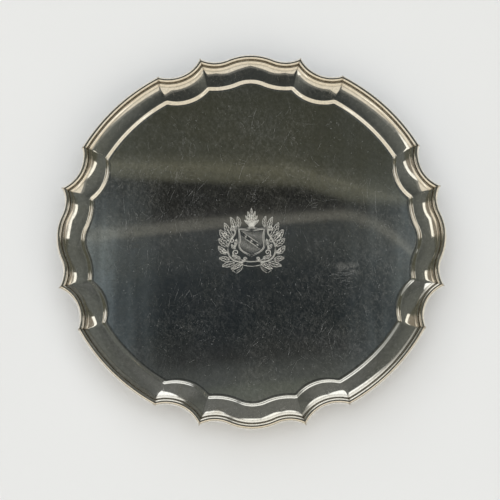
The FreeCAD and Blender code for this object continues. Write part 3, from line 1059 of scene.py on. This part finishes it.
def room_colour(s, x, y, z, wide):
    """The room by direction, away from what the flat well shows the camera."""
    # beyond the panels it is brown in front, and dark green toward +Y
    room = s.mix(s.span(y, 0.24, 0.32), (0.25, 0.215, 0.165, 1), (0.085, 0.085, 0.062, 1))
    # the dim side where the camera stands
    dim = s.mix(s.span(wide, 0.2, 0.55), (0.040, 0.043, 0.040, 1), (0.116, 0.121, 0.108, 1))
    dim = s.mix(s.times(s.span(y, 0.4, 0.72), s.span(wide, 0.45, 0.2)), dim, (0.142, 0.144, 0.134, 1))
    room = s.mix(s.span(wide, 0.70, 0.64), room, dim)
    # the paper sweep in front of the salver, warm and bright
    front = s.math("MULTIPLY_ADD", s.math("SUBTRACT", z, 0.83), 0.55, y)
    front = s.math("MULTIPLY_ADD", wide, -0.42, front)
    room = s.mix(s.span(front, -0.40, -0.46, 0.0, 0.14), room, (0.84, 0.80, 0.72, 1))
    paper = s.mix(s.span(z, 0.12, 0.36), (0.40, 0.39, 0.36, 1), (0.84, 0.76, 0.62, 1))
    room = s.mix(s.span(front, -0.485, -0.515), room, paper)
    # the pale walls low down on each side
    walls = s.mix(s.span(y, -0.1, 0.2), (0.60, 0.58, 0.53, 1), (0.84, 0.81, 0.73, 1))
    room = s.mix(s.span(wide, 0.90, 0.96), room, walls)
    # the panels, each side
    aside = s.math("ABSOLUTE", s.math("SUBTRACT", x, 0.02))
    panel = s.times(s.span(aside, 0.63, 0.645), s.span(aside, 0.705, 0.68))
    panel = s.times(panel, s.times(s.span(y, 0.30, 0.27), s.span(z, 0.36, 0.46)))
    room = s.mix(panel, room, (1.25, 1.2, 1.06, 1))
    # the soft box beyond the rim, reaching further to the left
    leaning = s.math("MULTIPLY_ADD", s.math("MAXIMUM", s.math("SUBTRACT", -0.12, x), 0.0), 0.42, y)
    box = s.times(s.span(leaning, 0.880, 0.898), s.span(x, 0.36, 0.24))
    box = s.times(box, s.span(x, -0.60, -0.40, 0.30, 1.0))
    lit = s.mix(s.span(z, 0.24, 0.42), (0.94, 0.95, 0.93, 1), (1.25, 1.25, 1.2, 1))
    return s.mix(box, room, lit)


OLIVE_BAND = (
    (0.0, (0.016, 0.0165, 0.016)), (0.262, (0.015, 0.0155, 0.015)), (0.290, (0.080, 0.080, 0.060)),
    (0.33, (0.098, 0.098, 0.073)), (0.37, (0.120, 0.118, 0.088)), (0.405, (0.074, 0.075, 0.057)),
    (0.46, (0.054, 0.056, 0.043)), (0.80, (0.048, 0.050, 0.038)), (1.0, (0.044, 0.046, 0.040)),
)
GREY_BAND = (
    (0.00, (0.125, 0.13, 0.12)), (0.12, (0.105, 0.115, 0.10)), (0.155, (0.070, 0.076, 0.074)),
    (0.19, (0.066, 0.071, 0.068)), (0.225, (0.046, 0.050, 0.049)), (0.26, (0.030, 0.032, 0.032)),
    (0.39, (0.015, 0.019, 0.0215)), (0.50, (0.019, 0.023, 0.026)), (0.60, (0.024, 0.029, 0.032)),
    (0.70, (0.041, 0.046, 0.0465)), (0.765, (0.044, 0.049, 0.050)), (0.797, (0.040, 0.044, 0.045)),
    (0.811, (0.122, 0.120, 0.105)), (0.837, (0.116, 0.114, 0.100)), (0.856, (0.030, 0.030, 0.029)),
    (0.90, (0.016, 0.0165, 0.016)),
)


def faint_bands(s, u, v):
    """What the flat well shows the camera: an olive band above a grey one, and light from each side."""
    upper = s.math("MULTIPLY_ADD", s.above(u, 0.027), 0.26, s.math("MULTIPLY_ADD", u, 0.043, v))
    edge = s.above(u, 0.045)
    lower = s.math("MULTIPLY_ADD", s.times(edge, edge), 12.0, s.math("MULTIPLY_ADD", u, -0.085, v))
    olive = s.ramp(upper, 0.30, 0.40, OLIVE_BAND)
    grey = s.ramp(lower, 0.19, 0.33, GREY_BAND)
    bands = s.mix(s.span(v, 0.313, 0.321), grey, olive)
    across = s.add("CombineXYZ", {0: s.times(u, 150.0), 1: s.times(v, 9.0)}).outputs[0]
    streaks = s.span(s.noise(across, 1.0, 3.0, 0.6), 0.3, 0.75, 0.25, 1.3)
    side = s.math("ADD", s.span(u, -0.046, -0.088, 0.0, 0.135), s.span(u, 0.042, 0.088, 0.0, 0.105))
    side = s.times(s.times(side, streaks), s.span(v, 0.345, 0.30, 0.15, 1.0))
    glow = s.add("CombineXYZ", {0: s.times(side, 0.84), 1: side, 2: s.times(side, 1.06)}).outputs[0]
    return s.add("Mix", {0: 1.0, 6: bands, 7: glow}, data_type="RGBA", blend_type="ADD").outputs[2]


def build_world():
    """A photographer's room, in the salver's frame: a dim side with faint bands where the camera
    stands, a white panel each side of it, a soft box beyond the rim, and pale paper in front."""
    world = bpy.data.worlds.new("studio")
    bpy.context.scene.world = world
    world.use_nodes = True
    s = Shader(world.node_tree)
    direction = s.add("TexCoord").outputs["Generated"]
    x, y, z = s.add("SeparateXYZ", {0: direction}).outputs[:3]
    height = s.math("MAXIMUM", z, 0.05)
    u, v = s.math("DIVIDE", x, height), s.math("DIVIDE", y, height)
    inside = s.times(s.span(v, 0.08, 0.16), s.span(v, 0.52, 0.44))
    inside = s.times(inside, s.span(s.math("ABSOLUTE", u), 0.2, 0.12))
    inside = s.times(inside, s.span(z, 0.1, 0.3))
    colour = s.mix(inside, room_colour(s, x, y, z, s.math("ABSOLUTE", x)), faint_bands(s, u, v))
    background = s.add("Background", {"Color": colour, "Strength": 1.0})
    s.add("OutputWorld", {"Surface": background.outputs[0]})


def build_floor():
    mesh = bpy.data.meshes.new("floor")
    reach = 6.0
    corners = [(-reach, -reach, 0), (reach, -reach, 0), (reach, reach, 0), (-reach, reach, 0)]
    mesh.from_pydata(corners, [], [(0, 1, 2, 3)])
    floor = new_object("floor", mesh)
    material, s = new_material("pale_floor")
    where = s.add("TexCoord").outputs["Object"]
    colour = s.mix(s.noise(where, 3.0, 3.0), (0.735, 0.74, 0.75, 1), (0.775, 0.78, 0.79, 1))
    s.surface({"Base Color": colour, "Roughness": 0.9})
    mesh.materials.append(material)


def soft_light(name, place, power, colour):
    """A wide round lamp that faces the origin and isn't seen in the silver."""
    data = bpy.data.lights.new(name, "AREA")
    data.shape = "DISK"
    data.size = 5.0
    data.energy = power
    data.color = colour
    light = new_object(name, data)
    light.location = place
    light.rotation_euler = (-Vector(place)).to_track_quat("-Z", "Y").to_euler()
    light.visible_glossy = False


def build_camera():
    """A long lens in front of the salver and well above it, close to square on to the plate."""
    lean, distance = math.radians(16.5), 1.419
    target = Vector((0.0, 0.0, 0.0296))
    data = bpy.data.cameras.new("camera")
    data.sensor_width = 36.0
    data.lens = 130.85
    data.shift_x = -0.0027
    data.shift_y = -0.0273
    camera = new_object("camera", data)
    place = target + distance * Vector((0.0, -math.sin(lean), math.cos(lean)))
    camera.location = place
    facing = (target - place).to_track_quat("-Z", "Y")
    camera.rotation_euler = facing.to_euler()
    camera.rotation_euler.rotate_axis("Z", math.radians(-0.33))
    bpy.context.scene.camera = camera


# ---- the scene

sheet = silver("silver_sheet", (0.90, 0.895, 0.87, 1), rough=0.02, scratch=0.24, grain_pitch=0.5,
               grain_depth=0.0001, soil=0.35, wave_depth=0.002, film=0.019)
border = silver("silver_border", (0.92, 0.89, 0.83, 1), rough=0.07, scratch=0.12, grain_pitch=0.7,
                grain_depth=0.002, soil=0.85, wave_depth=0.0, film=0.03)
cast = silver("silver_foot", (0.90, 0.87, 0.81, 1), rough=0.17, scratch=0.12, grain_pitch=0.6,
              grain_depth=0.01, soil=0.6, wave_depth=0.0, film=0.03)
engraved = cut_silver("silver_engraved", (0.88, 0.86, 0.80, 1), rough=0.5, spread=0.1, metal=0.45)
scratched = cut_silver("silver_scratched", (0.85, 0.85, 0.84, 1), rough=0.45, spread=0.1, metal=0.62)

build_plate(sheet)
for section_index in range(len(SECTIONS)):
    build_border(section_index, border)
build_engraving(engraved)
build_scratches(scratched)
for quarter_index in range(4):
    build_foot(quarter_index, cast)

build_world()
build_floor()
soft_light("key", (-0.5, 1.0, 2.8), 64.0, (0.95, 0.98, 1.0))
soft_light("fill", (0.5, -1.2, 2.8), 56.0, (0.94, 0.97, 1.0))
build_camera()
bpy.context.scene.view_settings.view_transform = "Standard"
